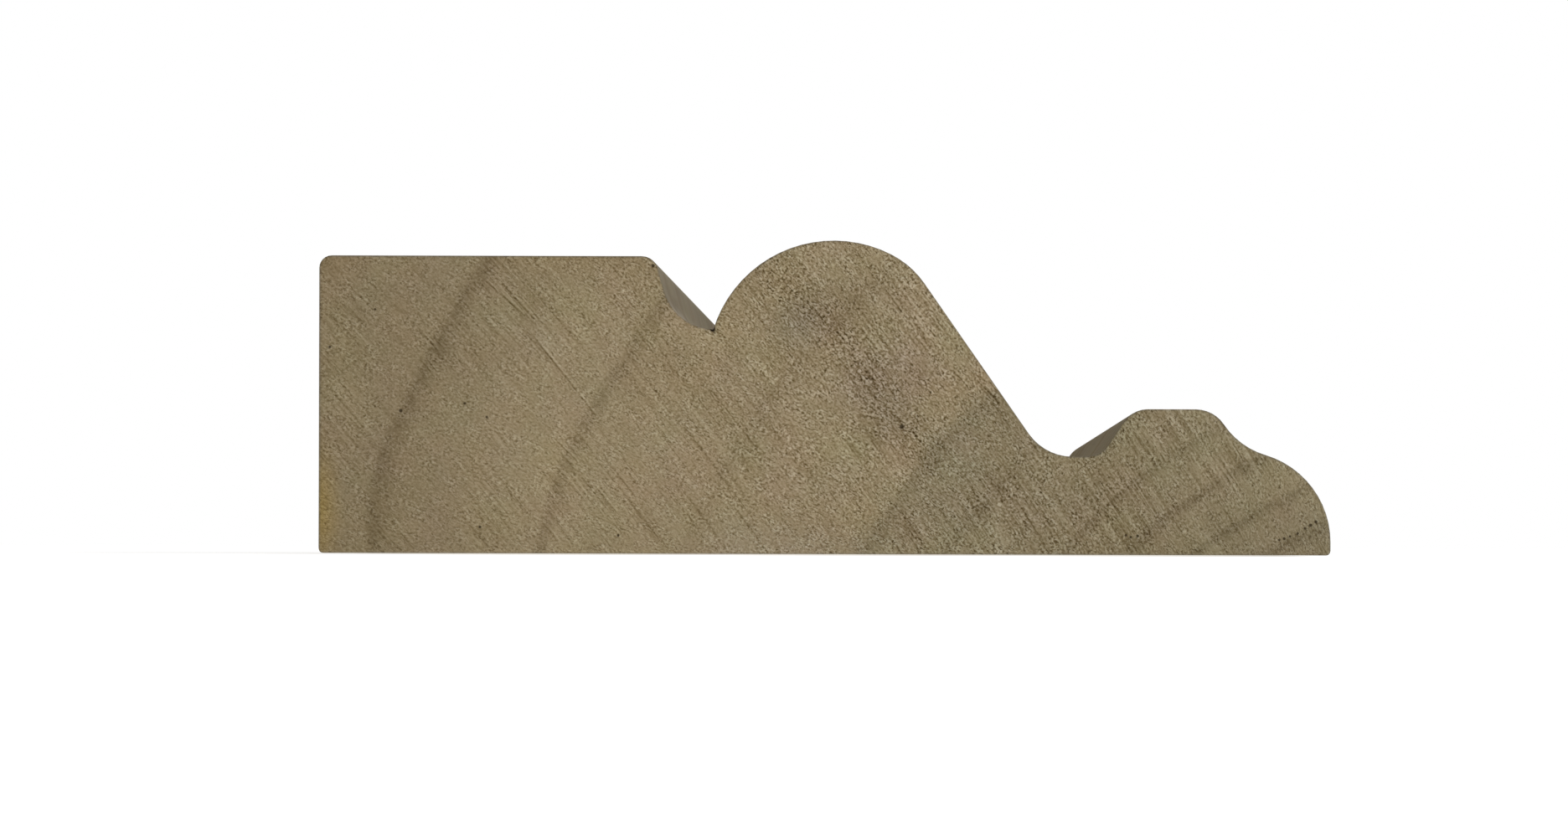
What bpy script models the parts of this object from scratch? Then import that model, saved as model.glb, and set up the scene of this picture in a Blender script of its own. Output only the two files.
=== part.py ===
# Skirting board: one length of solid hardwood, planed flat on its back and moulded on its face.
# From its lower edge up, the face has a plain band, a deep quirk, a torus with a long slope,
# a cove, a flat fillet, and a small hollow that runs into the nosed top edge.
# The board lies on its back. X runs across it from the lower edge to the top edge, Y runs
# along its length and Z goes up through its thickness. Sizes are in metres.

import math
from collections import namedtuple

import bmesh
import bpy
from mathutils import Vector

# The whole board
BOARD_LENGTH = 1.0
BOARD_HEIGHT = 0.069
BACK_ARRIS_RADIUS = 0.0003

# Plain band along the lower edge
BAND_THICKNESS = 0.0203
BAND_ARRIS_RADIUS = 0.00085
BAND_SHOULDER_RADIUS = 0.0011

# Quirk between the band and the torus
QUIRK_THICKNESS = 0.0153
QUIRK_HOLLOW_RADIUS = 0.00365
QUIRK_TO_BAND = 0.0039

# Torus, whose front falls away in a straight slope to the cove
TORUS_THICKNESS = 0.0214
TORUS_BACK_RADIUS = 0.0086
TORUS_FRONT_RADIUS = 0.0062
TORUS_FRONT_START = math.radians(63)
TORUS_TO_QUIRK = 0.0081

# Cove
COVE_THICKNESS = 0.0067
COVE_SLOPE_RADIUS = 0.00365
COVE_FOOT_RADIUS = 0.0017
COVE_FLOOR_WIDTH = 0.001
COVE_TO_TORUS = 0.0163

# Fillet
FILLET_THICKNESS = 0.00995
FILLET_BACK_RADIUS = 0.0019
FILLET_FRONT_RADIUS = 0.0023
FILLET_FLAT_WIDTH = 0.0033
FILLET_TO_COVE = 0.0041

# Nosed top edge and the hollow behind it
NOSE_RADIUS = 0.0062
NOSE_HOLLOW_RADIUS = 0.0052
NOSE_TO_FILLET = 0.003
TOP_EDGE_FLAT = 0.0009

# How far the middle of a flat facet may lie from its true round
FACET_SAG = 0.00001
SMOOTH_UP_TO = math.radians(35)

WOOD_COLOUR = (0.242, 0.195, 0.117, 1.0)
WOOD_ROUGHNESS = 0.75

# A round that the outline runs over, or a hollow that it runs under, which has a negative radius
Round = namedtuple("Round", "centre radius")


def round_under(x, top, radius):
    """A round at this place across the board, with its top at this thickness."""
    return Round(Vector((x, top - radius)), radius)


def hollow_over(x, floor, radius):
    """A hollow at this place across the board, with its floor at this thickness."""
    return Round(Vector((x, floor + radius)), -radius)


def hollow_touching(first, second, radius):
    """The hollow that touches the rounds on both sides of it."""
    span = second.centre - first.centre
    along = span.normalized()
    outwards = Vector((-along.y, along.x))
    first_reach = first.radius + radius
    second_reach = second.radius + radius
    distance = (first_reach**2 - second_reach**2 + span.length_squared) / (2 * span.length)
    height = math.sqrt(first_reach**2 - distance**2)
    return Round(first.centre + along * distance + outwards * height, -radius)


def section_rounds():
    """The rounds and hollows of the section, clockwise from the back of the lower edge."""
    nose_x = BOARD_HEIGHT - NOSE_RADIUS
    fillet_front_x = nose_x - NOSE_TO_FILLET
    fillet_back_x = fillet_front_x - FILLET_FLAT_WIDTH
    cove_foot_x = fillet_back_x - FILLET_TO_COVE
    cove_slope_x = cove_foot_x - COVE_FLOOR_WIDTH
    torus_x = cove_slope_x - COVE_TO_TORUS
    quirk_x = torus_x - TORUS_TO_QUIRK
    band_edge_x = quirk_x - QUIRK_TO_BAND

    torus_back = round_under(torus_x, TORUS_THICKNESS, TORUS_BACK_RADIUS)
    turn = Vector((math.cos(TORUS_FRONT_START), math.sin(TORUS_FRONT_START)))
    front_centre = torus_back.centre + turn * (TORUS_BACK_RADIUS - TORUS_FRONT_RADIUS)
    fillet_front = round_under(fillet_front_x, FILLET_THICKNESS, FILLET_FRONT_RADIUS)
    nose = Round(Vector((nose_x, TOP_EDGE_FLAT)), NOSE_RADIUS)
    return [
        round_under(BACK_ARRIS_RADIUS, 2 * BACK_ARRIS_RADIUS, BACK_ARRIS_RADIUS),
        round_under(BAND_ARRIS_RADIUS, BAND_THICKNESS, BAND_ARRIS_RADIUS),
        round_under(band_edge_x - BAND_SHOULDER_RADIUS, BAND_THICKNESS, BAND_SHOULDER_RADIUS),
        hollow_over(quirk_x, QUIRK_THICKNESS, QUIRK_HOLLOW_RADIUS),
        torus_back,
        Round(front_centre, TORUS_FRONT_RADIUS),
        hollow_over(cove_slope_x, COVE_THICKNESS, COVE_SLOPE_RADIUS),
        hollow_over(cove_foot_x, COVE_THICKNESS, COVE_FOOT_RADIUS),
        round_under(fillet_back_x, FILLET_THICKNESS, FILLET_BACK_RADIUS),
        fillet_front,
        hollow_touching(fillet_front, nose, NOSE_HOLLOW_RADIUS),
        nose,
        round_under(BOARD_HEIGHT - BACK_ARRIS_RADIUS, 2 * BACK_ARRIS_RADIUS, BACK_ARRIS_RADIUS),
    ]


def crossing_points(first, second):
    """Where the outline leaves one round and where it meets the next.

    Rounds that stand clear of each other are joined by the line that touches both. Rounds that
    cut into each other meet at a sharp line, where the outline first comes to their crossing.
    """
    span = second.centre - first.centre
    along = span.normalized()
    outwards = Vector((-along.y, along.x))
    lean = (first.radius - second.radius) / span.length
    if abs(lean) > 1 and first.radius * second.radius < 0:
        distance = (first.radius**2 - second.radius**2 + span.length_squared) / (2 * span.length)
        height = math.copysign(math.sqrt(first.radius**2 - distance**2), first.radius)
        corner = first.centre + along * distance + outwards * height
        return corner, corner
    lean = max(-1.0, min(1.0, lean))
    normal = along * lean + outwards * math.sqrt(1 - lean**2)
    return first.centre + normal * first.radius, second.centre + normal * second.radius


def arc_points(part, start, end):
    """Points along a round from start to end: clockwise over a round, the other way in a hollow."""
    start_arm = start - part.centre
    end_arm = end - part.centre
    radius = abs(part.radius)
    sweep = -start_arm.angle_signed(end_arm)
    if sweep * part.radius > 0:
        sweep -= math.copysign(2 * math.pi, sweep)
    facet_angle = 2 * math.acos(1 - min(FACET_SAG / radius, 1))
    facets = max(1, math.ceil(abs(sweep) / facet_angle))
    start_angle = math.atan2(start_arm.y, start_arm.x)
    angles = [start_angle + sweep * step / facets for step in range(facets + 1)]
    return [part.centre + Vector((math.cos(a), math.sin(a))) * radius for a in angles]


def section_outline():
    """The closed outline of the section, clockwise, with no point twice."""
    rounds = section_rounds()
    joins = [crossing_points(a, b) for a, b in zip(rounds, rounds[1:] + rounds[:1])]
    outline = []
    for index, part in enumerate(rounds):
        for point in arc_points(part, joins[index - 1][1], joins[index][0]):
            if not outline or (point - outline[-1]).length > FACET_SAG / 10:
                outline.append(point)
    return outline


def wood_material():
    material = bpy.data.materials.new("sawn_hardwood")
    material.use_nodes = True
    shader = material.node_tree.nodes["Principled BSDF"]
    shader.inputs["Base Color"].default_value = WOOD_COLOUR
    shader.inputs["Roughness"].default_value = WOOD_ROUGHNESS
    shader.inputs["Metallic"].default_value = 0.0
    return material


def make_board():
    """The section is drawn at the near end of the board and extruded to the far end."""
    board = bmesh.new()
    corners = []
    for point in section_outline():
        corners.append(board.verts.new((point.x - BOARD_HEIGHT / 2, -BOARD_LENGTH / 2, point.y)))
    section = board.faces.new(corners)
    grown = bmesh.ops.extrude_face_region(board, geom=[section])
    far_end = [item for item in grown["geom"] if isinstance(item, bmesh.types.BMVert)]
    bmesh.ops.translate(board, verts=far_end, vec=(0, BOARD_LENGTH, 0))
    bmesh.ops.recalc_face_normals(board, faces=board.faces)

    mesh = bpy.data.meshes.new("skirting_board")
    board.to_mesh(mesh)
    board.free()
    mesh.shade_smooth()
    mesh.set_sharp_from_angle(angle=SMOOTH_UP_TO)
    mesh.materials.append(wood_material())
    made = bpy.data.objects.new("skirting_board", mesh)
    bpy.context.scene.collection.objects.link(made)
    return made


for leftover in list(bpy.data.objects):
    bpy.data.objects.remove(leftover, do_unlink=True)

make_board()
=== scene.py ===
import math

import bmesh
import bpy
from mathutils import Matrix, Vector, noise


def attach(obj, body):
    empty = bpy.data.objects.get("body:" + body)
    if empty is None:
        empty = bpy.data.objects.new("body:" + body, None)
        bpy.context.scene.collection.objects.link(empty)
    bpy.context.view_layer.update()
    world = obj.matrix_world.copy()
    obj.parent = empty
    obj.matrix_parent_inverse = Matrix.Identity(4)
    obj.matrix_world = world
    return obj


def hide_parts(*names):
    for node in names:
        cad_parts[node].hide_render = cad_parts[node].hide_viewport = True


# A skirting board of pale greenish hardwood, seen square on to its sawn end.
# X runs from the lower edge to the top edge, Y along the board, Z from the back to the face.
# Meshes are in metres, and the dictionaries in millimetres unless a note says otherwise.
# A grain is how many lumps of noise there are to a millimetre across the board, along it and up.
# A change is four values: where it starts and ends, and how much there is at its start and end.

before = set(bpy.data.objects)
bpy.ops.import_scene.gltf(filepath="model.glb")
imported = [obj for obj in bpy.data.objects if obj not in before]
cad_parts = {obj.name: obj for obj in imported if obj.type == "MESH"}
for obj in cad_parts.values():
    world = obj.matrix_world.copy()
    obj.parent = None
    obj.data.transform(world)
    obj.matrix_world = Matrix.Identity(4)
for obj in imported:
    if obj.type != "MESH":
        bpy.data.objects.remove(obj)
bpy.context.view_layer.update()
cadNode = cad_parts["skirting_board"]
mm = 0.001
lowerEdge = -34.5  # x of the board's lower edge
nearEnd = -500.0  # y of the end that faces the camera
boardHeight = 69.0
print("frame loaded")


def tone(red, green, blue):  # 0 to 255, as a paint program shows it, turned into linear values
    steps = [part / 255 for part in (red, green, blue)]
    linear = [s / 12.92 if s < 0.04045 else ((s + 0.055) / 1.055) ** 2.4 for s in steps]
    return (*linear, 1.0)


def plug(tree, value, socket):  # a socket is linked, anything else becomes the input's value
    if isinstance(value, bpy.types.NodeSocket):
        tree.links.new(value, socket)
    else:
        socket.default_value = value


def maths(tree, operation, first, second=0.5, third=0.5, clamp=False):
    node = tree.nodes.new("ShaderNodeMath")
    node.operation = operation
    node.use_clamp = clamp
    for value, socket in zip((first, second, third), node.inputs):
        plug(tree, value, socket)
    return node.outputs[0]


def distance(tree, run, rise):
    square = maths(tree, "MULTIPLY_ADD", run, run, maths(tree, "MULTIPLY", rise, rise))
    return maths(tree, "SQRT", square)


def placed(tree, place, shift=(0, 0, 0), scale=(1, 1, 1)):  # a Mapping node
    node = tree.nodes.new("ShaderNodeMapping")
    for value, name in zip((place, shift, scale), ("Vector", "Location", "Scale")):
        plug(tree, value, node.inputs[name])
    return node.outputs[0]


def cloud(tree, place, scale=1.0, detail=2.0, roughness=0.5, distortion=0.0):  # noise about 0.5
    node = tree.nodes.new("ShaderNodeTexNoise")
    for value, name in zip((place, scale, detail, roughness, distortion),
                           ("Vector", "Scale", "Detail", "Roughness", "Distortion")):
        plug(tree, value, node.inputs[name])
    return node.outputs["Fac"]


def swing(tree, value):  # noise about 0.5 turned into noise about 0
    return maths(tree, "SUBTRACT", value, 0.5)


def between(tree, value, low, high, least=0.0, most=1.0, kind="SMOOTHSTEP"):  # a Map Range node
    node = tree.nodes.new("ShaderNodeMapRange")
    node.interpolation_type = kind
    for part, name in zip((value, low, high, least, most),
                          ("Value", "From Min", "From Max", "To Min", "To Max")):
        plug(tree, part, node.inputs[name])
    return node.outputs[0]


def mixTones(tree, how, share, first, second):
    node = tree.nodes.new("ShaderNodeMix")
    node.data_type = "RGBA"
    node.blend_type = how
    plug(tree, share, node.inputs[0])
    plug(tree, first, node.inputs[6])
    plug(tree, second, node.inputs[7])
    return node.outputs[2]


def softSpot(tree, place, centre, reach):  # 1 at the centre, fading to 0 where the reach ends
    shift = [-c / r for c, r in zip(centre, reach)]
    node = tree.nodes.new("ShaderNodeVectorMath")
    node.operation = "LENGTH"
    plug(tree, placed(tree, place, shift, [1 / r for r in reach]), node.inputs[0])
    return between(tree, node.outputs["Value"], 1.0, 0.0)


def parts(tree, place):  # x, y and z of a vector
    node = tree.nodes.new("ShaderNodeSeparateXYZ")
    plug(tree, place, node.inputs[0])
    return node.outputs[0], node.outputs[1], node.outputs[2]


def joined(tree, across, along, up):
    node = tree.nodes.new("ShaderNodeCombineXYZ")
    for value, socket in zip((across, along, up), node.inputs):
        plug(tree, value, socket)
    return node.outputs[0]


def bumped(tree, height, strength, depth):
    node = tree.nodes.new("ShaderNodeBump")
    node.inputs["Strength"].default_value = strength
    node.inputs["Distance"].default_value = depth
    plug(tree, height, node.inputs["Height"])
    return node.outputs[0]


def newGroup(name, inputs, outputs):  # inputs are (name, kind, value), outputs are (name, kind)
    tree = bpy.data.node_groups.new(name, "ShaderNodeTree")
    for label, kind, value in inputs:
        socket = tree.interface.new_socket(label, in_out="INPUT", socket_type=kind)
        if value is not None:
            socket.default_value = value
    for label, kind in outputs:
        tree.interface.new_socket(label, in_out="OUTPUT", socket_type=kind)
    given = tree.nodes.new("NodeGroupInput").outputs
    return tree, given, tree.nodes.new("NodeGroupOutput").inputs


def useGroup(tree, group, **values):
    node = tree.nodes.new("ShaderNodeGroup")
    node.node_tree = group
    for name, value in values.items():
        plug(tree, value, node.inputs[name])
    return node.outputs


# the figure of the wood, shared by the sawn ends and the planed faces
figure = {
    "pith": (45.5, -25.3),  # centre of the growth rings, outside the board
    "lean": (0.0035, -0.002),  # how far the pith leans for each millimetre along the board
    # each ring: radius, how far it takes to darken, and how dark it is where the next one starts
    "rings": ((82.3, 1.8, 0.75), (70.8, 1.3, 0.66), (61.0, 1.6, 0.33), (49.9, 1.5, 0.45),
              (45.2, 0.9, 0.42), (41.8, 0.6, 0.2), (38.7, 0.6, 0.5), (35.65, 0.9, 0.72),
              (32.55, 0.7, 0.7), (29.7, 1.2, 0.6)),
    "ringEnd": 0.35,  # how soon a ring's dark wood stops
    "ringGap": 0.6,  # rings closer than this stay a little dark between them
    "gapDark": 0.05,
    "rampFrom": 20.0,
    "rampTo": 100.0,
    "straightBelow": 8.0,  # the wide rings run straighter below this height above the back
    "straightened": (58.0, 84.0, 0.034),  # the radii where that sets in, and by how much
    "heartWander": 16.0,  # how far the heart strays from its line along the board
    "wanderOver": 160.0,  # the stretch from the near end over which that sets in
    "wanderGrain": (0, 0.004, 0),
    "ringWobble": 1.0,
    "wobbleGrain": (0.11, 0.006, 0.11),
    "patchGrain": (0.7, 0.02, 0.7),
    "patchChange": (0.3, 0.7, 0.65, 1.3),  # with the noise, how strong a ring is in a place
    "alongShrunk": 0.05,  # how fast the specks change along the board
    # millimetres to a radian, then the radii where that grows and by how much, so that the
    # specks stay about as broad
    "rayBreadth": (36.0, (45.7, 19.0), (61.5, 19.0)),
}


def ringStops():  # the ramp's places and values: each ring darkens slowly outwards and ends at once
    stops = []
    for radius, run, dark in sorted(figure["rings"]):
        if stops and radius - run - stops[-1][0] < figure["ringGap"]:
            stops.pop()
            stops.append((radius - run, figure["gapDark"]))
        else:
            stops.append((radius - run, 0.0))
        stops.append((radius, dark))
        stops.append((radius + figure["ringEnd"], 0.0))
    span = figure["rampTo"] - figure["rampFrom"]
    return [((radius - figure["rampFrom"]) / span, value) for radius, value in stops]


def growthRings():
    tree, given, put = newGroup("growthRings", [
        ("Place", "NodeSocketVector", None),
    ], [
        ("Ring", "NodeSocketFloat"), ("Radius", "NodeSocketFloat"), ("Polar", "NodeSocketVector"),
    ])
    place = given["Place"]
    across, along, up = parts(tree, place)
    travelled = maths(tree, "SUBTRACT", along, nearEnd)
    started = between(tree, travelled, 0.0, figure["wanderOver"])
    wander = cloud(tree, placed(tree, place, (7, 0, 3), figure["wanderGrain"]), detail=1.0)
    wander = maths(tree, "MULTIPLY", swing(tree, wander), started)
    pithX = maths(tree, "MULTIPLY_ADD", travelled, figure["lean"][0], figure["pith"][0])
    pithX = maths(tree, "MULTIPLY_ADD", wander, figure["heartWander"], pithX)
    pithZ = maths(tree, "MULTIPLY_ADD", travelled, figure["lean"][1], figure["pith"][1])
    run = maths(tree, "SUBTRACT", pithX, across)
    rise = maths(tree, "SUBTRACT", up, pithZ)
    radius = distance(tree, run, rise)
    low = maths(tree, "MAXIMUM", maths(tree, "SUBTRACT", figure["straightBelow"], up), 0.0)
    firstRadius, lastRadius, most = figure["straightened"]
    outer = between(tree, radius, firstRadius, lastRadius, 0.0, most)
    radius = maths(tree, "MULTIPLY_ADD", maths(tree, "MULTIPLY", low, low), outer, radius)
    wobble = cloud(tree, placed(tree, place, (2, 5, 1), figure["wobbleGrain"]))
    radius = maths(tree, "MULTIPLY_ADD", swing(tree, wobble), figure["ringWobble"], radius)
    angle = maths(tree, "ARCTAN2", rise, run)

    shade = tree.nodes.new("ShaderNodeValToRGB")
    shade.color_ramp.interpolation = "EASE"
    stops = ringStops()
    marks = shade.color_ramp.elements
    marks[0].position, marks[1].position = stops[0][0], stops[-1][0]
    for position, _ in stops[1:-1]:
        marks.new(position)
    for mark, (_, value) in zip(marks, stops):
        mark.color = (value, value, value, 1)
    ramped = between(tree, radius, figure["rampFrom"], figure["rampTo"], kind="LINEAR")
    plug(tree, ramped, shade.inputs[0])
    patchy = placed(tree, place, (1, 9, 4), figure["patchGrain"])
    patchy = cloud(tree, patchy, detail=3.0, roughness=0.6)
    patchy = between(tree, patchy, *figure["patchChange"])
    ring = maths(tree, "MULTIPLY", shade.outputs[0], patchy)

    # polar place: millimetres out along the rays and round the rings, and the way along, shrunk
    wide, *steps = figure["rayBreadth"]
    for past, more in steps:
        wide = maths(tree, "MULTIPLY_ADD", maths(tree, "GREATER_THAN", radius, past), more, wide)
    around = maths(tree, "MULTIPLY", angle, wide)
    lengthwise = maths(tree, "MULTIPLY", along, figure["alongShrunk"])
    plug(tree, ring, put["Ring"])
    plug(tree, radius, put["Radius"])
    plug(tree, joined(tree, radius, around, lengthwise), put["Polar"])
    return tree


tints = {
    "plain": tone(140, 126, 99),  # the groups' colour where none is given
    "drift": 4.0,  # how far the bands stray from the rings
    "driftGrain": (0.16, 0.008, 0.16),
    "blotchChange": (0.3, 0.6, 0.5, 1.0),  # with the noise, how strong a blotch is in a place
    "hueShare": 0.055,
    "hueGrain": (0.3, 0.01, 0.3),
    "bands": (  # radii where each starts and where it is full, and its tone
        (70.0, 82.5, tone(141, 126, 97)),  # browner sapwood at the lower edge
        (51.2, 49.4, tone(150, 137, 108)),  # greener towards the heart
        (42.0, 40.0, tone(145, 132, 103)),
        (35.5, 29.0, tone(141, 129, 101)),
    ),
    "blotches": (  # centre, reach, tone and share
        ((-1.9, nearEnd, 15.6), (3.0, 130, 2.8), tone(137, 131, 114), 0.45),  # bluish grey streak
        ((2.6, nearEnd, 11.4), (3.8, 130, 3.4), tone(134, 124, 105), 0.35),
        ((5.4, nearEnd, 12.6), (3.6, 110, 3.6), tone(144, 126, 105), 0.5),  # pinkish beside it
        ((4.3, nearEnd, 9.2), (3.6, 110, 3.2), tone(140, 121, 99), 0.45),
        ((9.5, nearEnd, 5.0), (5.0, 150, 6.0), tone(138, 128, 103), 0.3),  # greenish, lower down
        ((-7.5, nearEnd, 14.8), (5.0, 130, 4.5), tone(170, 154, 122), 0.42),  # pale, by the quirk
        ((2.0, nearEnd, 17.0), (5.0, 130, 3.2), tone(141, 126, 97), 0.6),
        ((-3.5, nearEnd, 0.0), (9.0, 130, 3.4), tone(160, 148, 127), 0.5),  # greyer along the back
    ),
}


def heartTints():  # soft bands and blotches of colour that run through the wood
    tree, given, put = newGroup("heartTints", [
        ("Base", "NodeSocketColor", tints["plain"]),
        ("Place", "NodeSocketVector", None),
        ("Radius", "NodeSocketFloat", 50.0),
        ("Strength", "NodeSocketFloat", 1.0),
    ], [("Color", "NodeSocketColor")])
    place, colour, strength = given["Place"], given["Base"], given["Strength"]
    drift = cloud(tree, placed(tree, place, (4, 0, 8), tints["driftGrain"]), detail=3.0)
    bent = maths(tree, "MULTIPLY_ADD", swing(tree, drift), tints["drift"], given["Radius"])
    for start, full, shade in tints["bands"]:
        share = maths(tree, "MULTIPLY", between(tree, bent, start, full), strength)
        colour = mixTones(tree, "MIX", share, colour, shade)
    for centre, reach, shade, share in tints["blotches"]:
        spot = softSpot(tree, place, centre, reach)
        first, last, least, most = tints["blotchChange"]
        uneven = between(tree, drift, first, last, least * share, most * share)
        spot = maths(tree, "MULTIPLY", maths(tree, "MULTIPLY", spot, uneven), strength)
        colour = mixTones(tree, "MIX", spot, colour, shade)
    hue = cloud(tree, placed(tree, place, (6, 2, 1), tints["hueGrain"]))
    hue = hue.node.outputs["Color"]  # a slight drift of hue
    plug(tree, mixTones(tree, "OVERLAY", tints["hueShare"], colour, hue), put["Color"])
    return tree


grimeLook = {
    "grain": (0.07, 0.02, 0.07),
    "change": (0.42, 0.72, 0.0, 1.0),  # with the noise, how much dirt shows in a place
    "tone": tone(214, 205, 190),  # what full dirt multiplies the wood by
}


def shopGrime():  # faint uneven dirt from handling, and a smudge here and there
    tree, given, put = newGroup("shopGrime", [
        ("Color", "NodeSocketColor", tints["plain"]),
        ("Place", "NodeSocketVector", None),
        ("Amount", "NodeSocketFloat", 0.5),
    ], [("Color", "NodeSocketColor"), ("Grime", "NodeSocketFloat")])
    broad = placed(tree, given["Place"], (3, 1, 6), grimeLook["grain"])
    broad = cloud(tree, broad, detail=4.0, roughness=0.6)
    grime = maths(tree, "MULTIPLY", between(tree, broad, *grimeLook["change"]), given["Amount"])
    plug(tree, mixTones(tree, "MULTIPLY", grime, given["Color"], grimeLook["tone"]), put["Color"])
    plug(tree, grime, put["Grime"])
    return tree


ringsGroup = growthRings()
tintsGroup = heartTints()
grimeGroup = shopGrime()
print("shared node groups built")


sawnLook = {
    # from, to, half breadth and how dark its painted shade is; places are from the lower edge and
    # from the back
    "scratches": (
        ((10.3, 19.5), (14.6, 15.7), 0.087, 0.3), ((10.9, 19.9), (13.2, 17.8), 0.072, 0.15),
        ((6.9, 15.2), (8.3, 13.6), 0.072, 0.3), ((7.3, 15.2), (8.6, 13.9), 0.058, 0.24),
        ((6.8, 13.3), (7.7, 12.3), 0.072, 0.3), ((7.2, 13.4), (8.1, 12.3), 0.058, 0.3),
        ((14.0, 15.6), (19.6, 8.5), 0.08, 0.32), ((16.0, 7.9), (17.8, 6.1), 0.072, 0.3),
        ((12.3, 18.6), (15.0, 15.6), 0.08, 0.25), ((18.6, 4.9), (20.5, 2.6), 0.08, 0.3),
        ((20.4, 12.1), (24.6, 6.8), 0.072, 0.14),
        ((33.3, 12.4), (35.2, 10.9), 0.087, 0.25), ((36.6, 9.58), (38.7, 9.13), 0.102, 0.35),
        ((45.2, 11.6), (46.5, 10.2), 0.102, 0.6), ((45.6, 11.9), (46.3, 11.1), 0.072, 0.4),
        ((48.4, 7.8), (49.2, 6.9), 0.087, 0.5), ((43.2, 12.6), (44.9, 10.7), 0.072, 0.25),
        ((32.8, 17.7), (34.9, 15.4), 0.1, 0.3), ((35.2, 15.3), (36.1, 14.3), 0.116, 0.45),
        ((36.2, 13.9), (37.0, 12.6), 0.1, 0.35), ((37.2, 12.7), (38.2, 11.2), 0.131, 0.35),
        ((38.8, 9.9), (39.9, 8.8), 0.131, 0.45), ((40.3, 8.6), (41.6, 7.1), 0.116, 0.3),
        ((29.0, 12.7), (31.0, 10.6), 0.072, 0.12), ((31.0, 6.0), (34.0, 1.8), 0.072, 0.09),
        ((67.9, 4.8), (68.8, 1.7), 0.087, 0.18), ((22.5, 19.75), (22.9, 19.5), 0.1, 0.2),
        ((46.3, 3.5), (46.55, 3.35), 0.16, -1.3),
    ),
    "scratchHighlight": (1.7, 0.55),  # the painted highlight beside a scratch: how many half breadths off it lies, and how strong it is
    "scratchFade": 0.3,  # from this share of its length away from its middle, a scratch fades
    "stains": (  # centre, reach, tone and share, only on the sawn surface
        ((-34.7, nearEnd, 3.0), (2.2, 40, 6.0), tone(150, 127, 70), 0.8),  # yellow, lower edge
        ((-34.5, nearEnd, 21.0), (5.0, 40, 3.6), tone(130, 108, 78), 0.5),  # orange, top corner
        ((-17.0, nearEnd, 20.5), (9.0, 40, 2.4), tone(146, 127, 92), 0.5),  # yellow, band's edge
    ),
    "base": tone(156, 140, 109),
    "ringTone": tone(216, 212, 205),  # what the rings multiply the wood by
    "speckWide": 7.7,  # specks to a millimetre across the rays
    "speckLong": 4.3,  # specks to a millimetre along the rays
    "speckRound": 6.3,  # rounder ones to a millimetre
    "speckShares": (0.85, 0.65, 0.2),  # long ones, round ones and coarse patches
    "speckLight": (3.2, 3.8, 5.6),  # red, green, blue: dark specks are browner, pale ones creamier
    "coarseGrain": (0.8, 1.3, 1),  # patches to a millimetre along and across the rays
    "coarseFrom": (-12.5, 8.5),  # the grain coarsens between these places across the board
    "coarseSlant": 0.6,  # and sooner near the face than near the back
    "coarseness": (1.22, 2.08),
    "patchChange": (0.32, 0.68, 0.55, 1.5),  # how much finer and coarser the patches make it
    "noseChange": (14.0, 30.0, 1.0, 0.62),  # finer again towards the nose
    "coarserTorn": 1.2,
    "coarserRing": 0.3,
    # the saw's arcs: lines to a millimetre across them and along them
    "fineArcs": (6.0, 0.28),
    "fineChange": (-8.0, 8.0, 0.75, 1.25),  # across the board
    "finePatchGrain": (0.16, 0, 0.16),
    "finePatchChange": (0.42, 0.62, 0.3, 1.0),
    "broadArcs": (0.9, 0.05),
    "broadArcShare": 0.13,
    "longArcs": (2.8, 0.05),
    "longChange": (-34.0, -20.0, 0.3, 1.0),  # across the board
    "longDark": (0.58, 0.72, 0.0, -0.2),  # a few long dark lines
    "longPale": (0.40, 0.28, 0.0, 0.14),  # and pale ones
    "holeRounds": (0.40, 0.30, 0.0, 1.0),  # small holes: which of the round specks they lie in
    "holePatches": (0.46, 0.6, 0.0, 1.0),  # and which of the coarse patches
    "holeChange": (0.0, 14.0, 0.1, 0.7),  # across the board
    "holeShadeShare": 0.6,
    "lightsHeldBack": -0.55,  # so that the darks are stronger than the lights
    "tornTone": tone(212, 204, 200),
    "tornShare": 0.22,
    # painted shade in the holes and pits
    "holeShadeTone": tone(62, 50, 32),
    # painted shade along the worn edges of the ends
    "arrisShadeTone": tone(116, 111, 99),
    "arrisShadeShare": 0.55,
    "grime": 0.35,
    "specular": 0.15,
    "roughness": 0.8,
    "grainRoughness": -0.3,  # pale grain is smoother
    "bump": 0.6,
    "grainDepth": 0.00013,  # metres
}
endSaw = {
    "centre": (-192.7, -134.2),  # the blade's centre, far off to the lower left
    "bladeReach": 230.0,  # from there to the board
    "lineDepth": 0.010,
    "lineGrain": (2.4, 0.1),  # lines to a millimetre across the arcs and along them
    "roughDepth": 0.014,
    "roughGrain": 2.8,
    "roughWithin": (66.0, 22.0),  # inside this radius the wood gets rougher, over this far
    "roughShares": (0.35, 0.9),  # everywhere, and what is added near the heart
}
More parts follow.
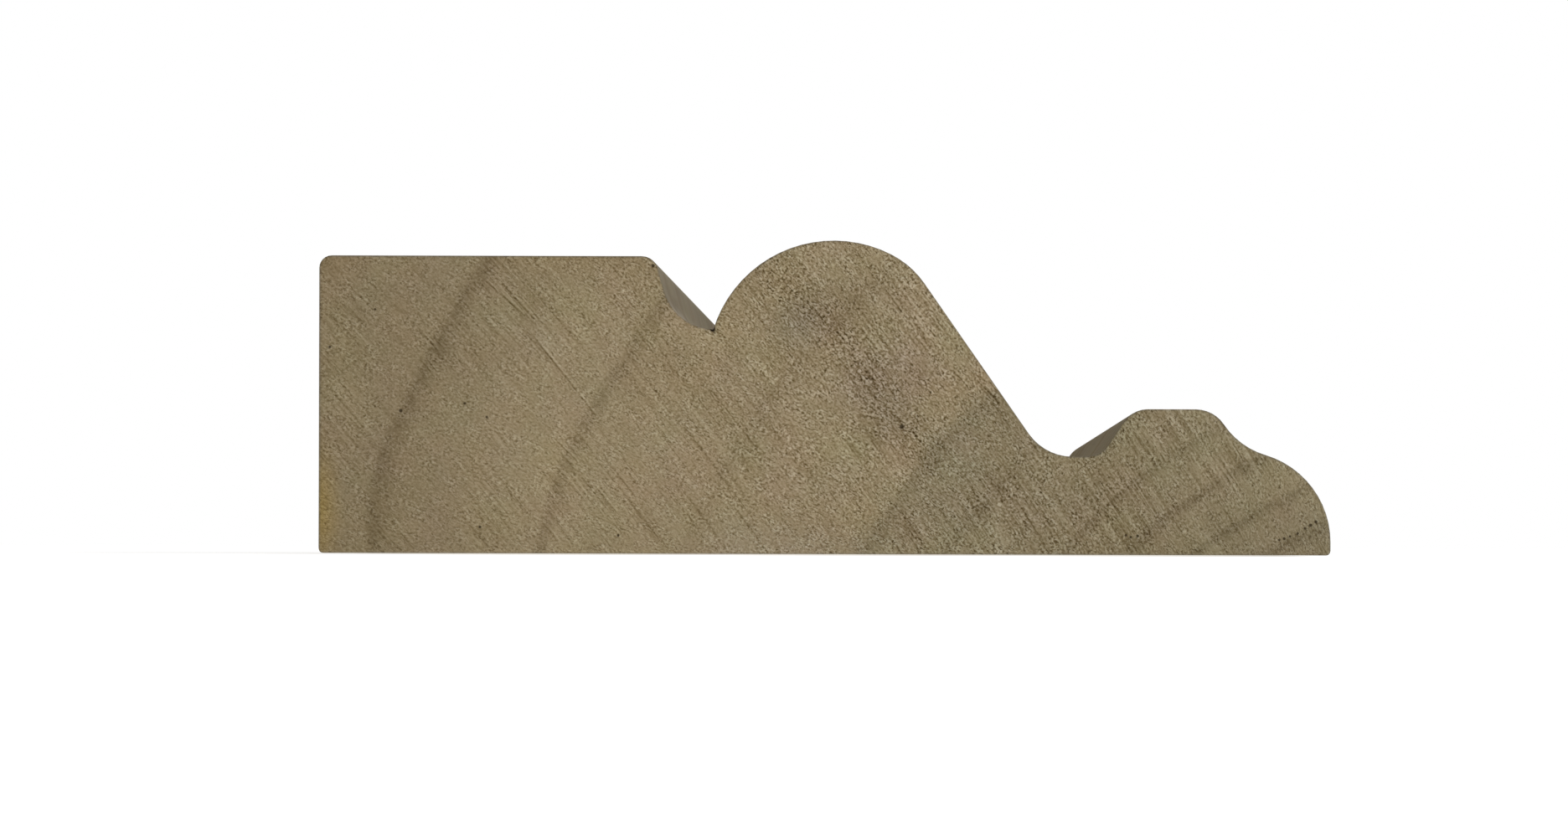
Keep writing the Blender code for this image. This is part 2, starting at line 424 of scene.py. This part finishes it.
endDamage = {  # places are from the lower edge and from the back
    "torn": ((30.6, 20.0), (33.4, 17.2), (35.6, 15.2), (37.7, 11.8), (40.1, 8.6), (41.8, 6.9)),
    "tornReach": 1.7,
    "tornDepth": 0.03,
    "tornGrain": 3.4,
    "pits": (  # place, reach and depth
        (5.58, 9.72, 0.20, 0.12), (9.94, 10.22, 0.16, 0.09), (11.45, 9.29, 0.15, 0.06),
        (0.73, 14.05, 0.15, 0.12), (3.81, 16.63, 0.13, 0.04), (11.0, 1.8, 0.16, 0.1),
        (20.43, 1.25, 0.15, 0.08), (39.75, 8.72, 0.24, 0.15), (55.05, 1.35, 0.15, 0.1),
        (55.38, 1.22, 0.15, 0.1), (55.85, 1.3, 0.16, 0.1), (68.0, 2.3, 0.17, 0.14),
        (67.63, 2.07, 0.18, 0.12), (67.26, 1.85, 0.15, 0.1), (66.75, 1.5, 0.14, 0.1),
        (66.24, 1.3, 0.13, 0.08), (65.84, 1.15, 0.16, 0.14), (65.5, 1.05, 0.13, 0.12),
        (26.83, 15.32, 0.26, 0.4), (22.75, 19.65, 0.18, 0.12),
    ),
    "pitChange": (0.1, 0.6, 0.0, 0.9),  # from its rim to its middle, how dark the painted shade in a pit is
    "pitBack": 5.0,  # how far behind the end a pit's shade reaches
}


# painted shade along a scratch, which comes out negative, with a painted highlight on the lip
# beside it
def scratchShadeMark(tree, place, start, end, half, dark):
    start, end = (Vector((spot[0] + lowerEdge, nearEnd, spot[1])) for spot in (start, end))
    along = (end - start).normalized()
    aside = Vector((-along.z, 0, along.x))
    far = (end - start).length
    offsets = []
    for way in (along, aside):
        node = tree.nodes.new("ShaderNodeVectorMath")
        node.operation = "DOT_PRODUCT"
        plug(tree, place, node.inputs[0])
        node.inputs[1].default_value = way
        offsets.append(maths(tree, "SUBTRACT", node.outputs["Value"], start.dot(way)))
    run, off = offsets
    highlightAway, highlightShare = sawnLook["scratchHighlight"]
    grooveShade = between(tree, maths(tree, "ABSOLUTE", off), half, 0.0)
    offHighlight = maths(tree, "ABSOLUTE", maths(tree, "SUBTRACT", off, highlightAway * half))
    paintedHighlight = between(tree, offHighlight, half, 0.0)
    mark = maths(tree, "MULTIPLY_ADD", paintedHighlight, highlightShare, maths(tree, "MULTIPLY", grooveShade, -1.0))
    mark = maths(tree, "MULTIPLY", mark, dark)
    offMiddle = maths(tree, "ABSOLUTE", maths(tree, "SUBTRACT", run, far / 2))
    ends = between(tree, offMiddle, far / 2, far * sawnLook["scratchFade"])
    return maths(tree, "MULTIPLY", mark, ends)


def startMaterial(name, specular):
    material = bpy.data.materials.new(name)
    material.use_nodes = True
    tree = material.node_tree
    shader = tree.nodes["Principled BSDF"]
    shader.inputs["Metallic"].default_value = 0.0
    shader.inputs["Specular IOR Level"].default_value = specular
    metres = tree.nodes.new("ShaderNodeTexCoord").outputs["Object"]
    place = placed(tree, metres, scale=(1 / mm, 1 / mm, 1 / mm))
    return material, tree, shader, place


def sawnEndGrain():
    material, tree, shader, place = startMaterial("sawnEndGrain", sawnLook["specular"])
    rings = useGroup(tree, ringsGroup, Place=place)
    colour = useGroup(tree, tintsGroup, Base=sawnLook["base"], Place=place,
                      Radius=rings["Radius"])["Color"]
    across, _, up = parts(tree, place)

    def attribute(name):
        node = tree.nodes.new("ShaderNodeAttribute")
        node.attribute_name = name
        return node.outputs["Fac"]

    torn, arris = attribute("torn"), attribute("arris")
    for centre, reach, shade, share in sawnLook["stains"]:
        spot = maths(tree, "MULTIPLY", softSpot(tree, place, centre, reach), share)
        colour = mixTones(tree, "MIX", spot, colour, shade)
    colour = mixTones(tree, "MULTIPLY", rings["Ring"], colour, sawnLook["ringTone"])

    # short dark dashes that lie along the rays, with paler ones and rounder specks between them
    dashes = placed(tree, rings["Polar"], scale=(sawnLook["speckLong"], sawnLook["speckWide"], 1))
    dashes = cloud(tree, dashes, detail=1.0, roughness=0.6, distortion=0.3)
    rounds = cloud(tree, place, sawnLook["speckRound"], detail=1.0, roughness=0.7,
                   distortion=0.8)
    coarse = placed(tree, rings["Polar"], scale=sawnLook["coarseGrain"])
    coarse = cloud(tree, coarse, roughness=0.6)
    dashShare, roundShare, coarseShare = sawnLook["speckShares"]
    specks = maths(tree, "MULTIPLY_ADD", rounds, roundShare, -(dashShare + roundShare) / 2)
    specks = maths(tree, "MULTIPLY_ADD", dashes, dashShare, specks)
    specks = maths(tree, "MULTIPLY_ADD", swing(tree, coarse), coarseShare, specks)

    # arcs that the saw left, about the far centre of its blade
    sawX, sawZ = endSaw["centre"]
    run = maths(tree, "SUBTRACT", across, sawX)
    rise = maths(tree, "SUBTRACT", up, sawZ)
    reach = distance(tree, run, rise)
    turn = maths(tree, "MULTIPLY", maths(tree, "ARCTAN2", rise, run), endSaw["bladeReach"])

    def sawArcs(kind, seed, detail=2.0, roughness=0.5):
        acrossArcs, alongArcs = sawnLook[kind]
        spot = joined(tree, maths(tree, "MULTIPLY", reach, acrossArcs),
                      maths(tree, "MULTIPLY", turn, alongArcs), seed)
        return cloud(tree, spot, detail=detail, roughness=roughness)

    fineArcs = sawArcs("fineArcs", 2.0, detail=1.0)
    broadArcs = sawArcs("broadArcs", 7.0)
    longArcs = sawArcs("longArcs", 11.0, roughness=0.7)
    patches = cloud(tree, placed(tree, place, scale=sawnLook["finePatchGrain"]))
    patches = between(tree, patches, *sawnLook["finePatchChange"])
    saw = maths(tree, "MULTIPLY", swing(tree, fineArcs), patches)
    saw = maths(tree, "MULTIPLY", saw, between(tree, across, *sawnLook["fineChange"]))
    saw = maths(tree, "MULTIPLY_ADD", swing(tree, broadArcs), sawnLook["broadArcShare"], saw)
    longLines = maths(tree, "ADD", between(tree, longArcs, *sawnLook["longDark"]),
                      between(tree, longArcs, *sawnLook["longPale"]))
    shown = between(tree, across, *sawnLook["longChange"])
    saw = maths(tree, "MULTIPLY_ADD", longLines, shown, saw)

    # smooth towards the lower edge, torn coarser from the torus on, and finer again at the nose
    slanted = maths(tree, "MULTIPLY_ADD", up, sawnLook["coarseSlant"], across)
    rough = between(tree, slanted, *sawnLook["coarseFrom"], *sawnLook["coarseness"])
    patches = between(tree, coarse, *sawnLook["patchChange"])
    rough = maths(tree, "MULTIPLY", rough, patches)
    rough = maths(tree, "MULTIPLY", rough, between(tree, across, *sawnLook["noseChange"]))
    rough = maths(tree, "MULTIPLY_ADD", torn, sawnLook["coarserTorn"], rough)
    rough = maths(tree, "MULTIPLY_ADD", rings["Ring"], sawnLook["coarserRing"], rough)
    grain = maths(tree, "MULTIPLY_ADD", specks, rough, saw)
    shade = grain
    # the scratches add painted shade and painted highlights to the colour only, not to the bump
    for mark in sawnLook["scratches"]:
        shade = maths(tree, "ADD", shade, scratchShadeMark(tree, place, *mark))
    square = maths(tree, "MULTIPLY", shade, shade)
    shade = maths(tree, "MULTIPLY_ADD", square, sawnLook["lightsHeldBack"], shade)
    light = [maths(tree, "POWER", most, shade) for most in sawnLook["speckLight"]]
    colour = mixTones(tree, "MULTIPLY", 1.0, colour, joined(tree, *light))
    tornShare = maths(tree, "MULTIPLY", torn, sawnLook["tornShare"])
    colour = mixTones(tree, "MULTIPLY", tornShare, colour, sawnLook["tornTone"])

    # painted shade in small holes where the grain is coarse, and in the pits
    holes = between(tree, rounds, *sawnLook["holeRounds"])
    holes = maths(tree, "MULTIPLY", holes, between(tree, coarse, *sawnLook["holePatches"]))
    holed = between(tree, across, *sawnLook["holeChange"])
    holes = maths(tree, "MULTIPLY", holes, maths(tree, "ADD", torn, holed, clamp=True))
    # dark: painted shade in the holes and pits
    dark = maths(tree, "MULTIPLY", holes, sawnLook["holeShadeShare"])
    for side, height, reach, _ in endDamage["pits"]:
        spot = (side + lowerEdge, nearEnd, height)
        spot = softSpot(tree, place, spot, (reach, endDamage["pitBack"], reach))
        dark = maths(tree, "MAXIMUM", dark, between(tree, spot, *endDamage["pitChange"]))
    colour = mixTones(tree, "MIX", dark, colour, sawnLook["holeShadeTone"])
    # painted shade: the worn edges of both ends are darkened all round
    arrisShadeShare = maths(tree, "MULTIPLY", arris, sawnLook["arrisShadeShare"])
    colour = mixTones(tree, "MIX", arrisShadeShare, colour, sawnLook["arrisShadeTone"])
    grimed = useGroup(tree, grimeGroup, Color=colour, Place=place, Amount=sawnLook["grime"])
    plug(tree, grimed["Color"], shader.inputs["Base Color"])
    rough = maths(tree, "MULTIPLY_ADD", grain, sawnLook["grainRoughness"], sawnLook["roughness"])
    plug(tree, rough, shader.inputs["Roughness"])
    normal = bumped(tree, grain, sawnLook["bump"], sawnLook["grainDepth"])
    plug(tree, normal, shader.inputs["Normal"])
    return material


planedLook = {
    "base": tone(152, 139, 112),
    "ringTone": tone(222, 217, 207),
    "tintStrength": 0.8,
    "fibreGrain": (3.2, 0.07, 3.2),
    "fibreShare": 0.5,
    "streakGrain": (0.5, 0.012, 0.5),
    "streakShare": 0.35,
    "poreGrain": (5.5, 0.32, 5.5),
    "poreChange": (0.66, 0.76, 0.0, 1.0),  # with the noise, where a pore line shows
    "poreShare": -0.16,
    "poreDepth": 0.3,  # in shares of the fibres' height
    "cutterPitch": 1.6,  # distance between the moulding cutter's ripples
    "cutterRipple": 0.04,  # in shares of the fibres' height
    "grime": 0.6,
    "specular": 0.25,
    "roughness": 0.5,
    "fibreRoughness": 0.15,
    "grimeRoughness": 0.12,
    "bump": 0.35,
    "grainDepth": 0.00006,  # metres
}


def planedLongGrain():
    material, tree, shader, place = startMaterial("planedLongGrain", planedLook["specular"])
    rings = useGroup(tree, ringsGroup, Place=place)
    colour = useGroup(tree, tintsGroup, Base=planedLook["base"], Place=place,
                      Radius=rings["Radius"], Strength=planedLook["tintStrength"])["Color"]
    colour = mixTones(tree, "MULTIPLY", rings["Ring"], colour, planedLook["ringTone"])

    # fine fibres and pore lines drawn out along the board
    fibres = placed(tree, place, scale=planedLook["fibreGrain"])
    fibres = cloud(tree, fibres, detail=4.0, roughness=0.65, distortion=0.15)
    streaks = placed(tree, place, (5, 2, 5), planedLook["streakGrain"])
    streaks = cloud(tree, streaks, detail=3.0)
    pores = placed(tree, place, (1, 3, 8), planedLook["poreGrain"])
    pores = between(tree, cloud(tree, pores, detail=1.0), *planedLook["poreChange"])
    light = maths(tree, "MULTIPLY_ADD", swing(tree, fibres), planedLook["fibreShare"], 1.0)
    light = maths(tree, "MULTIPLY_ADD", swing(tree, streaks), planedLook["streakShare"], light)
    light = maths(tree, "MULTIPLY_ADD", pores, planedLook["poreShare"], light)
    colour = mixTones(tree, "MULTIPLY", 1.0, colour, joined(tree, light, light, light))
    grimed = useGroup(tree, grimeGroup, Color=colour, Place=place, Amount=planedLook["grime"])
    plug(tree, grimed["Color"], shader.inputs["Base Color"])
    rough = planedLook["roughness"]
    rough = maths(tree, "MULTIPLY_ADD", fibres, planedLook["fibreRoughness"], rough)
    rough = maths(tree, "MULTIPLY_ADD", grimed["Grime"], planedLook["grimeRoughness"], rough)
    plug(tree, rough, shader.inputs["Roughness"])

    along = parts(tree, place)[1]
    waves = maths(tree, "MULTIPLY", along, 2 * math.pi / planedLook["cutterPitch"])
    ripple = maths(tree, "SINE", waves)
    height = maths(tree, "MULTIPLY", pores, planedLook["poreDepth"])
    height = maths(tree, "SUBTRACT", fibres, height)
    height = maths(tree, "MULTIPLY_ADD", ripple, planedLook["cutterRipple"], height)
    normal = bumped(tree, height, planedLook["bump"], planedLook["grainDepth"])
    plug(tree, normal, shader.inputs["Normal"])
    return material


boardMesh = {
    "nearGrid": 0.16,  # size of the squares that carry the relief on the photographed end
    "farGrid": 0.6,
    "eased": 0.07,  # how far the edges of the ends are worn back
    "easedGrain": 0.9,
    "easedBy": 0.6,  # how unevenly
    "farShift": 300.0,  # the far end's marks come from another place in the same pattern
    # where the long faces are cut, from the near end
    "rings": (0.25, 0.7, 2.0, 6.0, 20.0, 60.0, 150.0, 320.0, 500.0, 680.0, 850.0, 940.0, 980.0,
              994.0, 998.0, 999.3, 999.75),
    "flatWithin": 0.5,  # degrees
    "sharpFrom": 42.0,  # degrees
    "weld": 1e-6,  # metres
    "cutSlack": 1e-7,  # metres
}
bakeMap = {  # shares of the map: the ends get two thirds of it, and the long faces the rest
    "margin": 0.01,
    "span": 0.98,
    "farEndFrom": 0.345,
    "longFrom": 0.68,
    "longSpan": 0.31,
}


def nearness(point, start, end, reach):  # 1 on the line from start to end, 0 beyond its reach
    span = end - start
    share = max(0.0, min(1.0, (point - start).dot(span) / max(span.length_squared, 1e-9)))
    away = (point - start - span * share).length / reach
    return max(0.0, 1.0 - away * away)


def endRelief(point):  # how deep the sawn surface lies at a place, and how torn it is
    edgePoint = Vector((point.x - lowerEdge, point.y))
    fromSaw = point - Vector(endSaw["centre"])
    turn = math.atan2(fromSaw.y, fromSaw.x) * endSaw["bladeReach"]
    acrossArcs, alongArcs = endSaw["lineGrain"]
    lines = noise.noise(Vector((fromSaw.length * acrossArcs, turn * alongArcs, 3.0)))
    grain = endSaw["roughGrain"]
    rough = noise.noise(Vector((point.x * grain, 1.0, point.y * grain)))
    heart = (Vector(figure["pith"]) - point).length
    roughFrom, roughOver = endSaw["roughWithin"]
    coarse = max(0.0, min(1.0, (roughFrom - heart) / roughOver))
    everywhere, nearHeart = endSaw["roughShares"]
    depth = endSaw["lineDepth"] * lines
    depth += endSaw["roughDepth"] * rough * (everywhere + nearHeart * coarse)
    path = [Vector(spot) for spot in endDamage["torn"]]
    torn = max(nearness(edgePoint, a, b, endDamage["tornReach"]) for a, b in zip(path, path[1:]))
    grain = endDamage["tornGrain"]
    ragged = noise.noise(Vector((point.x * grain, 9.0, point.y * grain)))
    ragged += 0.5 * noise.noise(Vector((point.x, 4.0, point.y)))
    torn *= max(0.0, min(1.0, 0.75 + ragged))
    depth += endDamage["tornDepth"] * torn * (0.5 + ragged)
    for side, height, reach, deep in endDamage["pits"]:
        spot = Vector((side, height))
        depth += deep * nearness(edgePoint, spot, spot, reach)
    return depth, torn


# cuts faces into strips; each cut takes only what lies past the last one
def cutEvery(shape, faces, axis, step):
    low = min(v.co[axis] for f in faces for v in f.verts)
    high = max(v.co[axis] for f in faces for v in f.verts)
    direction = Vector([float(axis == side) for side in range(3)])
    done, rest = [], list(faces)
    place = low + step
    while place < high - step / 3 and rest:  # no strip is narrower than a third of a step
        near = {item for f in rest for item in (f, *f.edges, *f.verts)}
        cut = bmesh.ops.bisect_plane(shape, geom=list(near), dist=boardMesh["cutSlack"],
                                     plane_co=direction * place, plane_no=direction)
        rest = []
        for face in {item for item in cut["geom"] if isinstance(item, bmesh.types.BMFace)}:
            past = min(v.co[axis] for v in face.verts) > place - boardMesh["weld"]
            (rest if past else done).append(face)
        place += step
    return done + rest


def layMap(shape, outline):
    layer = shape.loops.layers.uv.new("OFBake")
    lengths = [(b - a).length for a, b in zip(outline, outline[1:] + outline[:1])]
    total = sum(lengths)
    margin, span = bakeMap["margin"], bakeMap["span"]
    for face in shape.faces:
        centre = face.calc_center_median()
        if face.material_index:
            far = face.normal.y > 0
            bottom = bakeMap["farEndFrom"] if far else margin
            for loop in face.loops:
                across = (loop.vert.co.x - lowerEdge * mm) / (boardHeight * mm)
                up = loop.vert.co.z / (boardHeight * mm)
                across = 1 - across if far else across
                loop[layer].uv = (margin + span * across, bottom + span * up)
            continue
        spot, best, before = Vector((centre.x, centre.z)), None, 0.0
        for index, start in enumerate(outline):
            way = outline[(index + 1) % len(outline)] - start
            share = max(0.0, min(1.0, (spot - start).dot(way) / way.length_squared))
            away = (spot - start - way * share).length
            if best is None or away < best[0]:
                best = (away, start, way.normalized(), before)
            before += lengths[index]
        for loop in face.loops:
            point = Vector((loop.vert.co.x, loop.vert.co.z))
            roundShare = (best[3] + (point - best[1]).dot(best[2])) / total
            loop[layer].uv = (margin + span * (loop.vert.co.y - nearEnd * mm),
                              bakeMap["longFrom"] + bakeMap["longSpan"] * roundShare)


def makeBoard():
    shape = bmesh.new()
    shape.from_mesh(cadNode.data)
    bmesh.ops.remove_doubles(shape, verts=shape.verts, dist=boardMesh["weld"])
    bmesh.ops.dissolve_limit(shape, angle_limit=math.radians(boardMesh["flatWithin"]),
                             use_dissolve_boundaries=False, verts=shape.verts, edges=shape.edges)
    nearFace = min(shape.faces, key=lambda f: f.normal.y)
    outline = [Vector((v.co.x, v.co.z)) for v in nearFace.verts]
    for ring in boardMesh["rings"]:
        everything = shape.verts[:] + shape.edges[:] + shape.faces[:]
        bmesh.ops.bisect_plane(shape, geom=everything, dist=boardMesh["cutSlack"],
                               plane_co=(0, (nearEnd + ring) * mm, 0), plane_no=(0, 1, 0))
    print("board cut along its length:", len(shape.faces), "faces")

    torn = shape.verts.layers.float.new("torn")
    arris = shape.verts.layers.float.new("arris")
    for side, grid in ((-1, boardMesh["nearGrid"]), (1, boardMesh["farGrid"])):
        end = [f for f in shape.faces if f.normal.y * side > 0.9]
        end = cutEvery(shape, end, 0, grid * mm)
        end = cutEvery(shape, end, 2, grid * mm)
        print("end divided:", len(end), "faces")
        for face in end:
            face.material_index = 1
        for vert in {v for f in end for v in f.verts}:
            point = Vector((vert.co.x / mm, vert.co.z / mm))
            if side > 0:
                point.x += boardMesh["farShift"]
            depth, vert[torn] = endRelief(point)
            if any(face.material_index == 0 for face in vert.link_faces):
                vert[arris] = 1.0
                grain = boardMesh["easedGrain"]
                uneven = noise.noise(Vector((point.x * grain, 5.0, point.y * grain)))
                depth += boardMesh["eased"] * (1 + boardMesh["easedBy"] * uneven)
            vert.co.y -= side * max(depth, 0.0) * mm
    layMap(shape, outline)

    mesh = bpy.data.meshes.new("sawn_skirting")
    shape.to_mesh(mesh)
    shape.free()
    mesh.shade_smooth()
    mesh.set_sharp_from_angle(angle=math.radians(boardMesh["sharpFrom"]))
    mesh.materials.append(planedLongGrain())
    mesh.materials.append(sawnEndGrain())
    board = bpy.data.objects.new("sawn_skirting", mesh)
    bpy.context.scene.collection.objects.link(board)
    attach(board, "root")
    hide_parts("skirting_board")
    mesh.calc_loop_triangles()
    print("board made:", len(mesh.loop_triangles), "triangles")


makeBoard()


studio = {  # sizes and places in metres
    "floorSize": 12.0,
    "floorGap": 0.0001,
    "floorTone": (0.8, 0.8, 0.8, 1),
    "floorGlow": 0.86,  # bright enough to look white
    "paintedShadeBy": 0.32,  # painted shade: the glow is duller near the board, so that its soft shadow shows
    "paintedShadeReach": (0.45, 1.1, 1.0),
    "surround": 0.2,  # how strongly the white surround lights the board
    "white": (1, 1, 1, 1),
    "aim": (0.0, -0.5, 0.01),
    # name, place, size, and power in watts
    "lamps": (
        ("keyLamp", (1.1, -1.15, 0.85), 0.3, 8.6),
        ("fillLamp", (-0.9, -1.7, 0.5), 0.8, 1.5),
        ("topLamp", (0.0, 0.1, 1.6), 1.2, 6.8),
        ("backLamp", (0.5, 1.6, 1.0), 0.8, 6.5),
    ),
}
view = {
    "lens": 900.0,
    "sensor": 36.0,
    "clip": (0.1, 100.0),  # metres
    "place": (0.00689, -3.1728, 0.00068),  # metres
    "turn": (90.183, -0.156, 0.2069),  # degrees: tilt, roll, swing
}


def makeFloor():
    shape = bmesh.new()
    bmesh.ops.create_grid(shape, x_segments=1, y_segments=1, size=studio["floorSize"] / 2)
    bmesh.ops.translate(shape, verts=shape.verts, vec=(0, 0, -studio["floorGap"]))
    mesh = bpy.data.meshes.new("floor")
    shape.to_mesh(mesh)
    shape.free()
    material = bpy.data.materials.new("paleFloor")
    material.use_nodes = True
    tree = material.node_tree
    shader = tree.nodes["Principled BSDF"]
    for name, value in (("Base Color", studio["floorTone"]), ("Roughness", 1.0),
                        ("Specular IOR Level", 0.0), ("Emission Color", studio["white"])):
        shader.inputs[name].default_value = value
    metres = tree.nodes.new("ShaderNodeTexCoord").outputs["Object"]
    # a patch of painted shade round the board, where the glow is turned down
    around = softSpot(tree, metres, (0, 0, 0), studio["paintedShadeReach"])
    glow = maths(tree, "MULTIPLY_ADD", around, -studio["paintedShadeBy"], studio["floorGlow"])
    plug(tree, glow, shader.inputs["Emission Strength"])
    mesh.materials.append(material)
    floor = bpy.data.objects.new("floor", mesh)
    bpy.context.scene.collection.objects.link(floor)


def makeLights():
    for name, place, size, power in studio["lamps"]:
        lamp = bpy.data.lights.new(name, "AREA")
        lamp.size, lamp.energy = size, power
        stand = bpy.data.objects.new(name, lamp)
        stand.location = place
        aim = Vector(studio["aim"]) - Vector(place)
        stand.rotation_euler = aim.to_track_quat("-Z", "Y").to_euler()
        bpy.context.scene.collection.objects.link(stand)

    world = bpy.data.worlds.new("whiteSurround")
    bpy.context.scene.world = world
    world.use_nodes = True
    tree = world.node_tree
    seen = tree.nodes.new("ShaderNodeLightPath").outputs["Is Camera Ray"]
    strength = maths(tree, "MULTIPLY_ADD", seen, 1.0 - studio["surround"], studio["surround"])
    plug(tree, studio["white"], tree.nodes["Background"].inputs["Color"])
    plug(tree, strength, tree.nodes["Background"].inputs["Strength"])


def makeCamera():
    camera = bpy.data.cameras.new("camera")
    camera.lens, camera.sensor_width = view["lens"], view["sensor"]
    camera.clip_start, camera.clip_end = view["clip"]
    stand = bpy.data.objects.new("camera", camera)
    stand.location = view["place"]
    stand.rotation_euler = [math.radians(angle) for angle in view["turn"]]
    bpy.context.scene.collection.objects.link(stand)
    bpy.context.scene.camera = stand


makeFloor()
makeLights()
makeCamera()
bpy.context.scene.view_settings.view_transform = "Standard"
print("studio and camera made")
